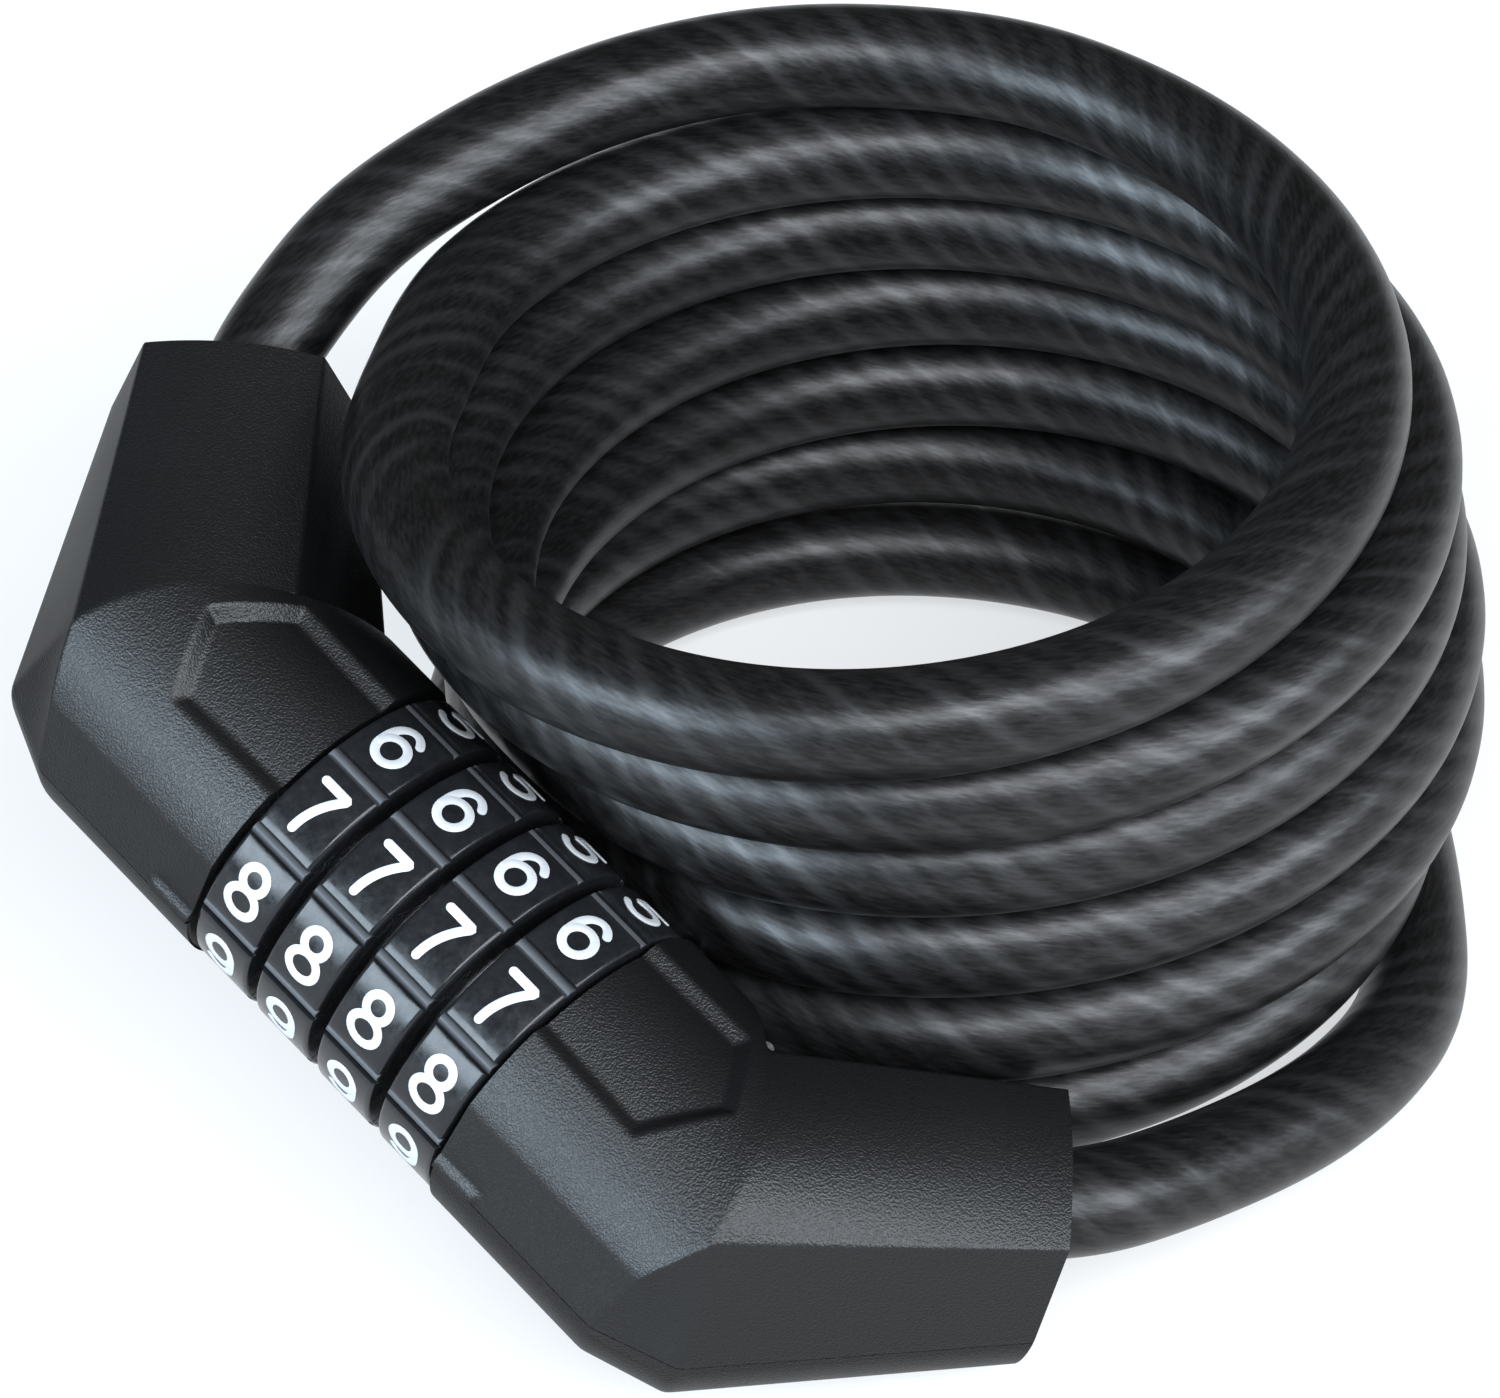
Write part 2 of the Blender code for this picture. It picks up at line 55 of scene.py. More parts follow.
# Placement and shared sizes, mm and degrees, as in the CAD.
HEAD_CENTRE = Vector((-8.2, -8.5, 31.0))
HEAD_YAW, HEAD_DIP, HEAD_ROLL = -43.8, 19.0, 0.9
PLUG_TWIST = 7.5
COIL_CENTRE = Vector((37.5, 32.7, 0.0))
DIALS, DIAL_PITCH, RING_WIDTH, RING_RADIUS, RING_BORE = 4, 8.3, 7.0, 16.0, 11.3
PANELS, DIGIT_SIX_ANGLE = 10, 7.3
PANEL_ANGLE = 36.0
HOUSING_RADIUS, HOUSING_START = 16.4, 16.5
CREASE_ANGLE = 60.0
ELBOW_X, ARM_ANGLE, ARM_LENGTH, ARM_RISE = 33.7, 49.0, 31.0, 2.6
CABLE_RADIUS = 5.0
FERRULE_END = 19.0

HEAD = Matrix.Translation(HEAD_CENTRE) @ Euler(
    (radians(HEAD_ROLL), radians(HEAD_DIP), radians(HEAD_YAW))).to_matrix().to_4x4()
PLUG = HEAD @ Matrix.Rotation(radians(PLUG_TWIST), 4, "X")


# ---- Camera ----

def make_camera():
    data = bpy.data.cameras.new("camera")
    made = bpy.data.objects.new("camera", data)
    bpy.context.scene.collection.objects.link(made)
    bpy.context.scene.camera = made
    data.sensor_width = 36.0
    data.lens = 168.0
    data.clip_start, data.clip_end = 0.05, 10.0
    made.location = Vector((19.9, -472.6, 470.1)) * MM
    made.rotation_euler = (radians(90 - 41.4), 0.0, 0.0)


# ---- Mesh helpers ----

def link(name, mesh, look, body=None):
    """Puts a piece in the scene with its finish; a blended piece rides on no body."""
    made = bpy.data.objects.new(name, mesh)
    bpy.context.scene.collection.objects.link(made)
    mesh.materials.append(look)
    if body:
        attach(made, body)
    return made


def grid_mesh(name, points, closed_rows=False, closed_columns=False, flip=False, uv=None):
    """A quad mesh from an array of rows x columns x 3, in mm."""
    rows, columns = points.shape[:2]
    faces, corners = [], []
    for i in range(rows if closed_rows else rows - 1):
        for j in range(columns if closed_columns else columns - 1):
            quad = [(i, j), (i, j + 1), (i + 1, j + 1), (i + 1, j)]
            if flip:
                quad = [quad[0], quad[3], quad[2], quad[1]]
            faces.append([(row % rows) * columns + column % columns for row, column in quad])
            corners.extend(quad)
    mesh = bpy.data.meshes.new(name)
    mesh.from_pydata((points.reshape(-1, 3) * MM).tolist(), [], faces)
    if uv is not None:
        layer = mesh.uv_layers.new(name="UVMap")
        layer.data.foreach_set("uv", [value for corner in corners for value in uv(*corner)])
    mesh.shade_smooth()
    return mesh


def transformed(points, matrix):
    """Points of any array shape, last axis x, y, z, moved by a 4 x 4 matrix."""
    flat = points.reshape(-1, 3)
    turn = np.array(matrix.to_3x3())
    moved = flat @ turn.T + np.array(matrix.translation)
    return moved.reshape(points.shape)


def softened(points, axis, passes, closed=False):
    """Rounds corners along one axis of a point grid; open ends stay."""
    moved = np.moveaxis(points, axis, 0).copy()
    for _ in range(passes):
        if closed:
            moved = (np.roll(moved, 1, 0) + 2 * moved + np.roll(moved, -1, 0)) / 4
        else:
            inner = (moved[:-2] + 2 * moved[1:-1] + moved[2:]) / 4
            moved = np.concatenate([moved[:1], inner, moved[-1:]])
    return np.moveaxis(moved, 0, axis)


def distances(points):
    """How far along a line of points each one lies."""
    return np.concatenate([[0], np.cumsum(np.linalg.norm(np.diff(points, axis=0), axis=1))])


# ---- Materials ----

class Nodes:
    """Short calls for building a material's node tree."""

    def __init__(self, name):
        self.material = bpy.data.materials.new(name)
        self.material.use_nodes = True
        self.tree = self.material.node_tree
        self.shader = self.tree.nodes["Principled BSDF"]

    def add(self, kind, **values):
        node = self.tree.nodes.new(kind)
        for key, value in values.items():
            setattr(node, key, value)
        return node

    def join(self, source, target):
        self.tree.links.new(source, target)

    def feed(self, name, source):
        """Joins a value to one of the shader's own inputs."""
        self.join(source, self.shader.inputs[name])

    def set(self, **values):
        for key, value in values.items():
            self.shader.inputs[key.replace("_", " ")].default_value = value

    def math(self, operation, a, b=None):
        node = self.add("ShaderNodeMath", operation=operation)
        for index, value in enumerate((a, b)):
            if value is None:
                continue
            if isinstance(value, (int, float)):
                node.inputs[index].default_value = value
            else:
                self.join(value, node.inputs[index])
        return node.outputs[0]

    def weigh(self, a, share_a, b, share_b):
        """The sum of two values, each times its share."""
        return self.math("ADD", self.math("MULTIPLY", a, share_a),
                         self.math("MULTIPLY", b, share_b))

    def noise(self, vector, scale, detail=2.0, roughness=0.5):
        node = self.add("ShaderNodeTexNoise")
        node.inputs["Scale"].default_value = scale
        node.inputs["Detail"].default_value = detail
        node.inputs["Roughness"].default_value = roughness
        self.join(vector, node.inputs["Vector"])
        return node.outputs["Fac"]

    def ramp(self, value, low, high, to_low=0.0, to_high=1.0):
        node = self.add("ShaderNodeMapRange")
        for key, amount in (("From Min", low), ("From Max", high),
                            ("To Min", to_low), ("To Max", to_high)):
            node.inputs[key].default_value = amount
        self.join(value, node.inputs["Value"])
        return node.outputs["Result"]

    def mix(self, factor, dark, light):
        node = self.add("ShaderNodeMix", data_type="RGBA")
        node.inputs[6].default_value = (*dark, 1.0)
        node.inputs[7].default_value = (*light, 1.0)
        self.join(factor, node.inputs[0])
        return node.outputs[2]

    def bump(self, height, strength, distance, after=None):
        node = self.add("ShaderNodeBump")
        node.inputs["Strength"].default_value = strength
        node.inputs["Distance"].default_value = distance
        self.join(height, node.inputs["Height"])
        if after is not None:
            self.join(after, node.inputs["Normal"])
        return node.outputs["Normal"]

    def place(self):
        return self.add("ShaderNodeTexCoord").outputs["Object"]

    def mark(self, name):
        """A value stored on the mesh's points."""
        return self.add("ShaderNodeAttribute", attribute_name=name).outputs["Fac"]


def grained_plastic():
    """Matte black plastic with the fine leather-like grain of a spark-eroded mould."""
    n = Nodes("grained_black_plastic")
    place = n.place()
    grain = n.noise(place, 4500.0, 1.0, 0.5)
    fine = n.noise(place, 6500.0, 2.0, 0.5)
    wear = n.noise(place, 45.0, 4.0, 0.6)
    normal = n.bump(n.ramp(grain, 0.35, 0.65), 0.36, 0.0001)
    n.feed("Normal", n.bump(fine, 0.18, 0.00006, normal))
    n.feed("Roughness", n.ramp(wear, 0.3, 0.7, 0.36, 0.43))
    n.feed("Base Color", n.mix(grain, (0.0026, 0.0027, 0.0028), (0.0064, 0.0066, 0.0071)))
    facing = n.add("ShaderNodeLayerWeight").outputs["Facing"]
    n.feed("Specular IOR Level", n.ramp(facing, 0.12, 0.6, 0.35, 0.05))
    return n.material


def gloss_plastic():
    """Glossy black dial plastic: ribs painted lighter as a painted sheen, sides given painted
    shade by lowered gloss, faint waves and handling marks.
    """
    n = Nodes("gloss_black_plastic")
    place = n.place()
    wave = n.noise(place, 160.0, 2.0, 0.5)
    marks = n.noise(place, 900.0, 4.0, 0.7)
    n.feed("Normal", n.bump(wave, 0.035, 0.0006))
    rib = n.mark("rib")
    rough = n.ramp(marks, 0.35, 0.75, 0.16, 0.34)
    n.feed("Roughness", n.math("ADD", rough, n.math("MULTIPLY", rib, 0.25)))
    # Handling marks vary the tone at random; the ribs are painted lighter, a painted sheen
    # standing in for the light they catch.
    marks_and_rib_sheen = n.weigh(marks, 0.14, rib, 0.7)
    n.feed("Base Color", n.mix(marks_and_rib_sheen, (0.004, 0.0043, 0.005), (0.06, 0.065, 0.073)))
    # The side faces get little gloss: painted shade in the gaps between the rings.
    side = n.mark("side")
    n.feed("Specular IOR Level", n.ramp(side, 0.0, 1.0, 0.28, 0.03))
    return n.material


def digit_paint():
    """White paint on the raised digits, with fine specks."""
    n = Nodes("white_digit_paint")
    speck = n.noise(n.place(), 1800.0, 3.0, 0.6)
    n.feed("Roughness", n.ramp(speck, 0.3, 0.7, 0.34, 0.5))
    n.feed("Base Color", n.mix(speck, (0.37, 0.385, 0.405), (0.44, 0.455, 0.475)))
    n.feed("Normal", n.bump(speck, 0.08, 0.0001))
    return n.material


def metal(name, colour, roughness, scale):
    """Bare or plated metal with a fine uneven grain."""
    n = Nodes(name)
    grain = n.noise(n.place(), scale, 4.0, 0.6)
    lighter = tuple(min(1.0, c * 1.25) for c in colour)
    n.feed("Base Color", n.mix(grain, colour, lighter))
    n.feed("Roughness", n.ramp(grain, 0.3, 0.7, roughness - 0.06, roughness + 0.08))
    n.feed("Normal", n.bump(grain, 0.15, 0.0001))
    n.set(Metallic=1.0)
    return n.material


STRANDS = 7                                # strands of the steel rope
STRAND_LAY, WIRE_LAY = 0.030, 0.11         # metres along for one turn round


def cable_vinyl():
    """Smoky translucent vinyl over a twisted steel rope: U runs round, V along in metres."""
    n = Nodes("smoky_vinyl_cable")
    split = n.add("ShaderNodeSeparateXYZ")
    n.join(n.add("ShaderNodeUVMap", uv_map="UVMap").outputs["UV"], split.inputs[0])
    u, v = split.outputs[0], split.outputs[1]

    def round_and_along(lay, around, along):
        """Seamless coordinates that turn with a lay, for streaks that follow it."""
        turn = n.math("MULTIPLY", n.math("SUBTRACT", u, n.math("DIVIDE", v, lay)), 2 * pi)
        join = n.add("ShaderNodeCombineXYZ")
        n.join(n.math("MULTIPLY", n.math("COSINE", turn), around), join.inputs[0])
        n.join(n.math("MULTIPLY", n.math("SINE", turn), around), join.inputs[1])
        n.join(n.math("MULTIPLY", v, along), join.inputs[2])
        return join.outputs[0]

    strand = n.math("MULTIPLY", n.math("SUBTRACT", u, n.math("DIVIDE", v, STRAND_LAY)), STRANDS)
    wave = n.math("SINE", n.math("MULTIPLY", strand, pi))
    crown = n.math("MULTIPLY", wave, wave)
    uneven = n.noise(round_and_along(STRAND_LAY, 1.6, 70.0), 1.0, 2.0, 0.5)
    wires = n.noise(round_and_along(WIRE_LAY, 13.0, 640.0), 1.0, 2.0, 0.55)
    wires = n.ramp(wires, 0.2, 0.8)
    cloud = n.noise(n.place(), 38.0, 3.0, 0.55)
    strands = n.math("MULTIPLY", crown, n.ramp(uneven, 0.36, 0.66, 0.05, 1.0))
    n.feed("Normal", n.bump(n.weigh(strands, 0.4, wires, 0.15), 0.22, 0.0005))
    shade = n.weigh(strands, 0.48, wires, 0.5)
    n.feed("Base Color", n.mix(n.ramp(shade, 0.17, 0.72), (0.0075, 0.0073, 0.0072),
                               (0.0325, 0.0325, 0.0335)))
    n.feed("Roughness", n.ramp(cloud, 0.3, 0.7, 0.36, 0.44))
    n.set(Metallic=0.7, Specular_IOR_Level=0.3, Coat_Weight=0.2, Coat_IOR=1.4)
    n.feed("Coat Roughness", n.ramp(cloud, 0.3, 0.7, 0.3, 0.4))
    scuff = n.noise(n.place(), 700.0, 3.0, 0.6)
    n.feed("Coat Normal", n.bump(scuff, 0.05, 0.0002))
    return n.material


# ---- Cable ----

COIL_RADIUS, COIL_PITCH = 45.4, 10.45
COIL_MIDDLE_TURN, COIL_MIDDLE_Z = 3.25, 35.5
COIL_TILT_X, COIL_TILT_Y = 0.031, -0.011
FIRST_TURN, LAST_TURN, TURN_STEP = 0.06, 6.28, 0.04
TURN_DRIFT = (                             # turn, middle x, middle y, extra radius
    (0, -11.6, -2.5, 2.7),
    (1, -2.1, -2.3, 0.2),
    (2, -1.4, -0.2, 0.3),
    (3, 2.6, 2.2, -1.0),
    (4, 3.4, 0.9, 0.3),
    (5, 0.0, 1.7, 0.0),
    (5.42, -0.7, 0.3, -0.3),
    (5.7, -1.2, 0.6, -0.7),
    (6, -1.7, 0.3, -1.1),
    (6.5, 6.0, 0.0, -1.0),
)
UPPER_ROUTE = (                            # from the plug to the first turn
    (-60.6, 17.0, 59.0),
    (-56.2, 22.6, 62.5),
    (-48.5, 28.2, 65.5),
    (-38.2, 35.0, 67.7),
    (-26.0, 41.0, 68.6),
    (-11.5, 44.4, 68.7),
)
LOWER_ROUTE = (                            # from the last turn to the body
    (46.2, -21.0, 6.0),
    (42.1, -31.5, 7.6),
    (34.6, -42.0, 10.0),
    (24.2, -50.9, 12.3),
)
CABLE_START = FERRULE_END + 0.5            # along both cable arms, just past the ferrules
PLUG_EXIT = (CABLE_START, 25.0, ARM_LENGTH, 34.0)
BODY_EXIT = (                              # along, across, lift
    (36.0, -0.5, 0.6),
    (ARM_LENGTH, -0.3, 0.25),
    (25.0, 0.0, 0.0),
    (CABLE_START, 0.0, 0.0),
)
ROUTE_SPACING, ROUTE_SMOOTHING = 1.2, 14
SPLINE_STEPS = 16
CABLE_SIDES = 32


def arm_direction(side):
    angle = radians(ARM_ANGLE)
    return Vector((side * cos(angle), sin(angle), 0))


def arm_point(side, along, across=0.0, z=ARM_RISE):
    """A point on a cable arm; side is 1 for the body and -1 for the plug."""
    ahead = arm_direction(side)
    outward = Vector((side * ahead.y, -side * ahead.x, 0))
    return Vector((side * ELBOW_X, 0, z)) + ahead * along + outward * across


# Lines through the head, and how near to them the cable's centre may come: the dials, the
# plug's cable arm, the body's elbow and the body's cable arm.
KEEP_AWAY = (
    (HEAD @ Vector((-36, 0, 0)), HEAD @ Vector((36, 0, 0)), RING_RADIUS + CABLE_RADIUS + 0.9),
    (PLUG @ Vector((-ELBOW_X, 0, 0)), PLUG @ arm_point(-1, ARM_LENGTH), 13.2 + CABLE_RADIUS),
    (HEAD @ Vector((ELBOW_X - 6, 3, 0)), HEAD @ arm_point(1, 12.0), 15.0 + CABLE_RADIUS),
    (HEAD @ arm_point(1, 12.0), HEAD @ arm_point(1, ARM_LENGTH), 12.2 + CABLE_RADIUS),
)


def drift(turn):
    """Middle x, middle y and extra radius of the coil at a turn, between the table's rows."""
    for low, high in zip(TURN_DRIFT, TURN_DRIFT[1:]):
        if turn <= high[0]:
            break
    share = max(0.0, min(1.0, (turn - low[0]) / (high[0] - low[0])))
    return [a + (b - a) * share for a, b in zip(low[1:], high[1:])]


def coil_point(turn):
    """The coil's centre line, moved level away from the head where it would touch."""
    x_mid, y_mid, more = drift(turn)
    angle = 2 * pi * turn
    x = (COIL_RADIUS + more) * sin(angle)
    y = (COIL_RADIUS + more) * cos(angle)
    z = COIL_MIDDLE_Z + COIL_PITCH * (COIL_MIDDLE_TURN - turn) + COIL_TILT_X * x + COIL_TILT_Y * y
    point = Vector((x_mid + x, y_mid + y, z)) + COIL_CENTRE
    for start, end, reach in KEEP_AWAY:
        along = (point - start).dot(end - start) / (end - start).length_squared
        away = point - start.lerp(end, max(0.0, min(1.0, along)))
        level = Vector((away.x, away.y, 0))
        room = max(0.0, reach ** 2 - away.z ** 2) ** 0.5
        if 0 < level.length < room:
            point = point + level.normalized() * (room - level.length)
    return point


def even_route(points, spacing, smoothing):
    """Evenly spaced points on a smooth curve through the given ones."""
    dense = []
    padded = [points[0] * 2 - points[1]] + points + [points[-1] * 2 - points[-2]]
    for a, b, c, d in zip(padded, padded[1:], padded[2:], padded[3:]):
        for step in range(SPLINE_STEPS):
            t = step / SPLINE_STEPS
            dense.append(0.5 * (2 * b + (c - a) * t + (2 * a - 5 * b + 4 * c - d) * t * t
                                + (3 * b - 3 * c + d - a) * t ** 3))
    dense = np.array([tuple(p) for p in dense] + [tuple(points[-1])])
    for _ in range(2):
        lengths = distances(dense)
        count = int(round(lengths[-1] / spacing))
        at = np.linspace(0, lengths[-1], count + 1)
        dense = np.stack([np.interp(at, lengths, dense[:, k]) for k in range(3)], 1)
        dense = softened(dense, 0, smoothing)
    return dense


def cable_route():
    """The cable's centre line in mm, from inside the plug to inside the body."""
    points = [PLUG @ arm_point(-1, along) for along in PLUG_EXIT]
    points += [COIL_CENTRE + Vector(p) for p in UPPER_ROUTE]
    turn = FIRST_TURN
    while turn < LAST_TURN:
        points.append(coil_point(turn))
        turn += TURN_STEP
    points += [COIL_CENTRE + Vector(p) for p in LOWER_ROUTE]
    points += [HEAD @ arm_point(1, along, across, ARM_RISE + lift)
               for along, across, lift in BODY_EXIT]
    return even_route(points, ROUTE_SPACING, ROUTE_SMOOTHING)


def make_cable(look):
    path = cable_route()
    tangents = np.gradient(path, axis=0)
    tangents /= np.linalg.norm(tangents, axis=1)[:, None]
    normal = np.cross(tangents[0], (0.0, 0.0, 1.0))
    turns = np.linspace(0, 2 * pi, CABLE_SIDES, endpoint=False)[:, None]
    rings = np.zeros((len(path), CABLE_SIDES, 3))
    for i, tangent in enumerate(tangents):
        normal = normal - tangent * normal.dot(tangent)
        normal = normal / np.linalg.norm(normal)
        other = np.cross(tangent, normal)
        rings[i] = path[i] + CABLE_RADIUS * (np.cos(turns) * normal + np.sin(turns) * other)
    along = distances(path) * MM
    mesh = grid_mesh("cable", rings, closed_columns=True,
                     uv=lambda i, j: (j / CABLE_SIDES, along[i]))
    cap = bmesh.new()
    cap.from_mesh(mesh)
    bmesh.ops.holes_fill(cap, edges=[e for e in cap.edges if e.is_boundary], sides=0)
    bmesh.ops.recalc_face_normals(cap, faces=cap.faces)
    cap.to_mesh(mesh)
    cap.free()
    made = link("cable", mesh, look)
    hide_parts("cable_coil", "cable_lead_upper", "cable_lead_lower")
    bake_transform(made)


# ---- Housings ----

CROWN, FLANK, BACK = 100, 26, 44           # samples of a section
ARM_ROWS, ELBOW_ROWS, CABLE_ARM_ROWS = 52, 26, 72
ARM_END_HALF = 12.3                        # the cable end's half width at the parting
ARM_END_DEPTH = 14.1
CROWN_END_OUT, CROWN_END_IN, CROWN_END_Z = 9.8, 7.0, 12.4
CROWN_BULGE = 1.4
END_SLANT = 0.08                           # the cable end leans back towards the outside
RIDGE_FROM, RIDGE_TO, RIDGE_KNEE = -34.6, 29.2, -7.0      # degrees round the dial arm
EDGE_ROUND = 0.5                           # round between the walls and the two ends
CABLE_HOLE = 5.6
PARTING_GAP, PARTING_LIP = 0.07, 0.09      # half the gap; how far the lips turn in
BODY_HOLE, BODY_REACH = 6.4, 0.7           # the hole in the dial end; added arm length
PLUG_HOLE, PLUG_REACH = 8.8, -0.8

POCKET = ((16.0, -28.0), (29.5, -29.5), (34.0, 0.0), (29.0, 28.0), (16.0, 27.0))  # x, angle
POCKET_DEPTH, POCKET_WALL = 1.1, 1.3
INDEX_LENGTH, INDEX_HEIGHT, INDEX_RISE = 5.4, 1.5, 0.45
INDEX_END_ROUND, INDEX_TOP_ROUND = 0.4, 0.35


def line(a, b, count, endpoint=True):
    t = np.linspace(0, 1, count, endpoint=endpoint)[:, None]
    return np.array(a, float) * (1 - t) + np.array(b, float) * t


def ridge_x(angle):
    """Where the elbow's ridge crosses the dial arm's cylinder at an angle in degrees."""
    past = angle - RIDGE_FROM
    return 41.6 - 0.123 * past - 0.001455 * past * (angle - RIDGE_KNEE)


def crown_on_cylinder(x_values, angles):
    turn = np.radians(angles)
    return np.stack([x_values, HOUSING_RADIUS * np.sin(turn), HOUSING_RADIUS * np.cos(turn)], 1)


def section(crown, part_out, part_in, depth):
    """Crown samples closed by flat flanks and a round back; starts at the outer parting."""
    part_out, part_in = np.array((*part_out, 0.0)), np.array((*part_in, 0.0))
    outer = line(part_out, crown[0], FLANK, endpoint=False)
    inner = line(crown[-1], part_in, FLANK + 1)[1:]
    turn = np.linspace(0, pi, BACK + 1)[1:-1, None]
    middle, reach = (part_in + part_out) / 2, (part_in - part_out) / 2
    back = middle + reach * np.cos(turn) - np.array((0, 0, depth)) * np.sin(turn)
    return np.concatenate([outer, crown, inner, back])


def housing_grid(reach):
    """Stations x samples x 3 for the body's side; the plug's is its mirror image."""
    share = np.linspace(-1, 1, CROWN)
    wide = CREASE_ANGLE * share
    ridge = np.linspace(RIDGE_FROM, RIDGE_TO, CROWN)
    ridge_key = (ridge_x(ridge), ridge, (45.1, -13.0), (26.6, 17.2), 17.2)
    keys = (                               # crown x, crown angles, outer and inner parting, depth
        (np.full(CROWN, HOUSING_START), wide, (HOUSING_START, -HOUSING_RADIUS),
         (HOUSING_START, HOUSING_RADIUS), HOUSING_RADIUS),
        (np.interp(share, (-1, 1), (38.6, 24.0)), wide, (37.0, -HOUSING_RADIUS),
         (23.0, HOUSING_RADIUS), HOUSING_RADIUS),
        ridge_key,
    )
    rows = []
    for (x0, a0, out0, in0, d0), (x1, a1, out1, in1, d1), count in zip(
            keys, keys[1:], (ARM_ROWS, ELBOW_ROWS)):
        for t in np.linspace(0, 1, count, endpoint=False):
            crown = crown_on_cylinder(x0 + (x1 - x0) * t, a0 + (a1 - a0) * t)
            out = np.array(out0) + (np.array(out1) - out0) * t
            inn = np.array(in0) + (np.array(in1) - in0) * t
            rows.append(section(crown, out, inn, d0 + (d1 - d0) * t))
    first = section(crown_on_cylinder(*ridge_key[:2]), *ridge_key[2:])
    end_out = np.array(arm_point(1, ARM_LENGTH, CROWN_END_OUT, CROWN_END_Z))
    end_in = np.array(arm_point(1, ARM_LENGTH, -CROWN_END_IN, CROWN_END_Z))
    crown = line(end_out, end_in, CROWN)
    crown[:, 2] += CROWN_BULGE * (1 - share ** 2)
    last = section(crown, np.array(arm_point(1, ARM_LENGTH, ARM_END_HALF).xy),
                   np.array(arm_point(1, ARM_LENGTH, -ARM_END_HALF).xy), ARM_END_DEPTH)
    ahead, middle = np.array(arm_direction(1)), np.array(arm_point(1, ARM_LENGTH))
    outward = np.array((ahead[1], -ahead[0], 0.0))
    last += np.outer(reach - END_SLANT * ((last - middle) @ outward), ahead)
    for t in np.linspace(0, 1, CABLE_ARM_ROWS):
        rows.append(first * (1 - t) + last * t)
    grid = softened(np.array(rows), 1, 1, closed=True)
    return softened(grid, 0, 2)


def press_pocket(grid):
    """Sinks the five-sided pocket into the dial arm's crown."""
    corners = [np.array((x, radians(a) * HOUSING_RADIUS)) for x, a in POCKET]
    angle = np.arctan2(grid[..., 1], grid[..., 2])
    spot = np.stack([grid[..., 0], angle * HOUSING_RADIUS], -1)
    inside = np.full(grid.shape[:2], 99.0)
    for a, b in zip(corners, corners[1:]):
        edge = b - a
        left = np.array((-edge[1], edge[0])) / np.linalg.norm(edge)
        inside = np.minimum(inside, (spot - a) @ left)
    front = np.abs(np.degrees(angle)) < 45
    depth = POCKET_DEPTH * np.clip(inside / POCKET_WALL, 0, 1) * front
    grid[..., 1] -= depth * np.sin(angle)
    grid[..., 2] -= depth * np.cos(angle)
    return grid


def raise_index(grid):
    """Raises the index bar beside the dials, on the front half next to the parting line."""
    x, y, z = grid[..., 0], grid[..., 1], grid[..., 2]
    along = np.clip((HOUSING_START + INDEX_LENGTH - x) / INDEX_END_ROUND, 0, 1)
    up = np.clip((INDEX_HEIGHT - z) / INDEX_TOP_ROUND, 0, 1) * (z > -0.01)
    grid[..., 1] -= INDEX_RISE * along * up * (y < 0)
    return grid


def end_wall(outline, centre, ahead, hole_radius):
    """Rows from a section's outline over a small round to the hole and down into it."""
    up = np.array((0.0, 0.0, 1.0))
    middle = np.array(centre)
    ahead = np.array(ahead) / np.linalg.norm(ahead)
    inward = middle - outline
    inward -= np.outer(inward @ ahead, ahead)
    unit = inward / np.linalg.norm(inward, axis=1)[:, None]
    edge = [outline]
    for turn in (radians(30), radians(60), radians(90)):
        edge.append(outline + unit * EDGE_ROUND * (1 - cos(turn)) + ahead * EDGE_ROUND * sin(turn))
    rim = outline + unit * EDGE_ROUND + ahead * EDGE_ROUND
    across = np.cross(ahead, up)
    angle = np.arctan2(-unit @ across, -unit @ up)
    hole = middle + np.outer(np.sin(angle), across) + np.outer(np.cos(angle), up)
    direction = hole - middle
    level = middle + ahead * float(np.mean((rim - middle) @ ahead))
    bore = [level + direction * radius - ahead * sink
            for radius, sink in ((hole_radius + 0.6, 0.0), (hole_radius + 0.2, 0.12),
                                 (hole_radius, 0.5), (hole_radius, 5.0))]
    face = [rim * (1 - t) + bore[0] * t for t in (0.35, 0.7)]
    return np.array(edge + face + bore)


def make_housing(prefix, side, place, body, look, hole_radius, reach):
    """Front and back skin of one housing, from one closed shape split at the parting line."""
    grid = raise_index(press_pocket(housing_grid(reach)))
    dial_end = end_wall(grid[0], (HOUSING_START, 0, 0), (-1.0, 0, 0), hole_radius)
    ahead = np.array(arm_direction(1))
    cable_end = end_wall(grid[-1], tuple(arm_point(1, ARM_LENGTH)), ahead, CABLE_HOLE)
    dial_end[1:, :, 0] += EDGE_ROUND
    cable_end[1:] -= ahead * EDGE_ROUND
    whole = np.concatenate([dial_end[::-1], grid[1:-1], cable_end])
    parting = FLANK + CROWN + FLANK - 1
    halves = (
        ("front", np.arange(0, parting + 1), PARTING_GAP),
        ("back", np.append(np.arange(parting, whole.shape[1]), 0), -PARTING_GAP),
    )
    for half, picks, gap in halves:
        points = whole[:, picks].copy()
        points[:, [0, -1], 2] += gap
        low, high = points[:, :1], points[:, -1:]
        centre = (low + high) / 2
        points = np.concatenate([low + (centre - low) * PARTING_LIP, points,
                                 high + (centre - high) * PARTING_LIP], 1)
        points[..., 0] *= side
        mesh = grid_mesh(f"{prefix}_{half}_skin", transformed(points, place), flip=side < 0)
        mesh.set_sharp_from_angle(angle=radians(50))
        made = link(f"{prefix}_{half}_skin", mesh, look, body)
        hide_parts(f"{prefix}_{half}_shell")


# ---- Number rings ----

